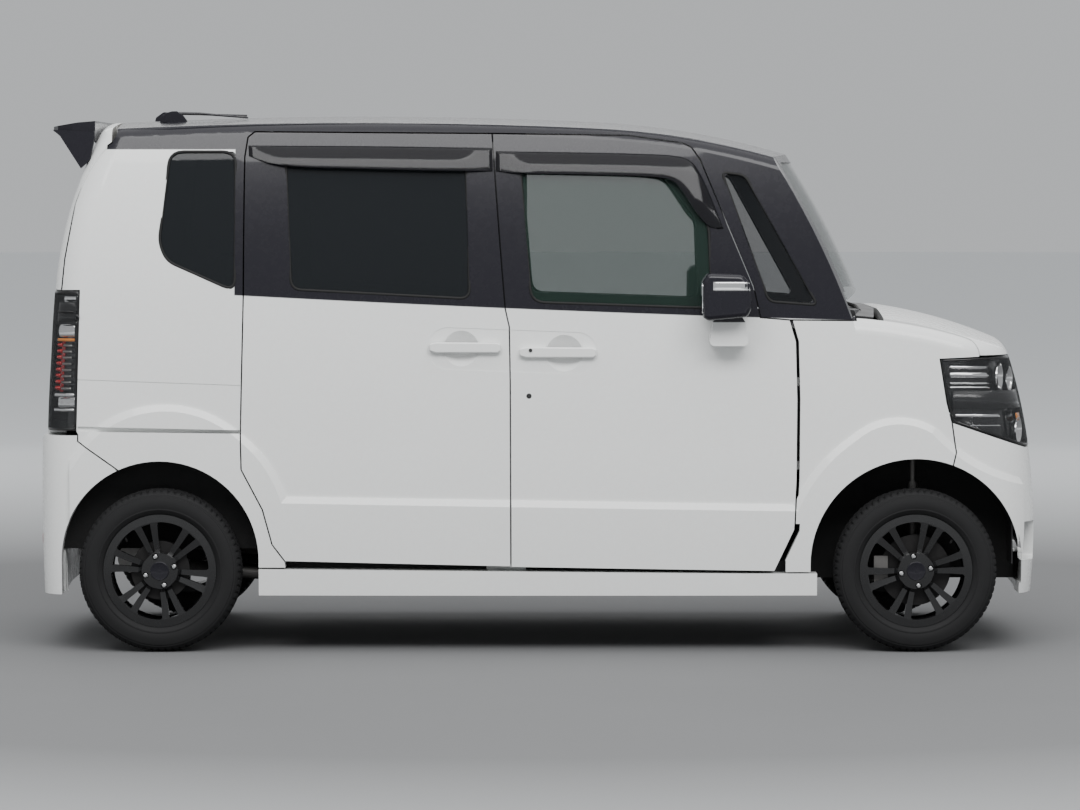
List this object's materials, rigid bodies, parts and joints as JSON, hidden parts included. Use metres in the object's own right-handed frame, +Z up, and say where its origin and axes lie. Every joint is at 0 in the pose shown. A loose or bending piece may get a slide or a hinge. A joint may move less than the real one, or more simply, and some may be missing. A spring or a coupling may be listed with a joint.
{
  "type": "kei car",
  "caption": "Tall small passenger car with hinged front doors, bonnet and tailgate, fixed sliding rear doors, and steered front wheels.",
  "frame": {"origin": "on the ground, midway between the two axles and between the sides", "axes": "+X towards the nose, +Y towards the car's left, +Z up; doors, bonnet and tailgate shut, wheels straight ahead"},
  "size_m": [3.3945, 1.736, 1.8086],
  "materials": {
    "body_paint": "gloss pearl white; black above the belt line",
    "roof_black": "gloss black",
    "black_trim": "matt",
    "underbody_black": "satin",
    "dark_chrome": "dark polished",
    "lamp_lens": "clear",
    "red_lens": "gloss",
    "clear_glass": "clear, slightly green",
    "dark_glass": "dark tint",
    "seat_cloth": "woven",
    "cast_metal": "machined",
    "bare_steel": "satin",
    "tyre": "matt",
    "rim_black": "gloss black"
  },
  "bodies": {
    "body": {"underbody": "underbody_black", "body_sides": "body_paint", "roof_panel": "roof_black", "fenders": "body_paint", "front_bumper": "body_paint", "grille": "dark_chrome", "rear_bumper": "body_paint", "side_skirts": "body_paint", "sliding_doors": "body_paint", "cowl": "black_trim", "headlamps": "lamp_lens", "tail_lamps": "red_lens", "fixed_side_glass": "dark_glass", "windscreen": "clear_glass", "seats": "seat_cloth", "dashboard": "black_trim", "steering_wheel": "black_trim", "engine": "cast_metal", "fuel_tank": "black_trim", "exhaust": "bare_steel", "front_subframe": "underbody_black", "rear_axle": "underbody_black"},
    "bonnet": {"bonnet": "body_paint"},
    "front_door_right": {"front_door_right": "body_paint", "door_glass_right": "clear_glass", "mirror_right": "roof_black"},
    "front_door_left": {"front_door_left": "body_paint", "door_glass_left": "clear_glass", "mirror_left": "roof_black"},
    "tailgate": {"tailgate": "body_paint", "tailgate_glass": "dark_glass", "spoiler": "roof_black"},
    "knuckle_right": {"knuckle_right": "cast_metal"},
    "knuckle_left": {"knuckle_left": "cast_metal"},
    "wheel_front_right": {"tyre_front_right": "tyre", "rim_front_right": "rim_black", "hub_front_right": "cast_metal"},
    "wheel_front_left": {"tyre_front_left": "tyre", "rim_front_left": "rim_black", "hub_front_left": "cast_metal"},
    "wheel_rear_right": {"tyre_rear_right": "tyre", "rim_rear_right": "rim_black", "hub_rear_right": "cast_metal"},
    "wheel_rear_left": {"tyre_rear_left": "tyre", "rim_rear_left": "rim_black", "hub_rear_left": "cast_metal"}
  },
  "joints": [
    {"name": "bonnet_hinge", "type": "hinge", "parent": "body", "child": "bonnet", "pos_m": [1.18, 0, 1.078], "axis": [0, -1, 0], "range_deg": [0, 55]},
    {"name": "front_door_right_hinge", "type": "hinge", "parent": "body", "child": "front_door_right", "pos_m": [0.805, -0.705, 0.76], "axis": [0, 0, 1], "range_deg": [0, 70]},
    {"name": "front_door_left_hinge", "type": "hinge", "parent": "body", "child": "front_door_left", "pos_m": [0.805, 0.705, 0.76], "axis": [0, 0, -1], "range_deg": [0, 70]},
    {"name": "tailgate_hinge", "type": "hinge", "parent": "body", "child": "tailgate", "pos_m": [-1.45, 0, 1.738], "axis": [0, 1, 0], "range_deg": [0, 85]},
    {"name": "steer_right", "type": "hinge", "parent": "body", "child": "knuckle_right", "pos_m": [1.26, -0.545, 0.272], "axis": [0, 0, 1], "range_deg": [-32, 32]},
    {"name": "steer_left", "type": "hinge", "parent": "body", "child": "knuckle_left", "pos_m": [1.26, 0.545, 0.272], "axis": [0, 0, 1], "range_deg": [-32, 32]},
    {"name": "wheel_front_right_spin", "type": "hinge", "parent": "knuckle_right", "child": "wheel_front_right", "pos_m": [1.26, -0.6525, 0.272], "axis": [0, 1, 0], "continuous": true},
    {"name": "wheel_front_left_spin", "type": "hinge", "parent": "knuckle_left", "child": "wheel_front_left", "pos_m": [1.26, 0.6525, 0.272], "axis": [0, 1, 0], "continuous": true},
    {"name": "wheel_rear_right_spin", "type": "hinge", "parent": "body", "child": "wheel_rear_right", "pos_m": [-1.26, -0.6525, 0.272], "axis": [0, 1, 0], "continuous": true},
    {"name": "wheel_rear_left_spin", "type": "hinge", "parent": "body", "child": "wheel_rear_left", "pos_m": [-1.26, 0.6525, 0.272], "axis": [0, 1, 0], "continuous": true}
  ],
  "couplings": [
    {"joint": "steer_left", "follows": "steer_right", "ratio": 1}
  ]
}
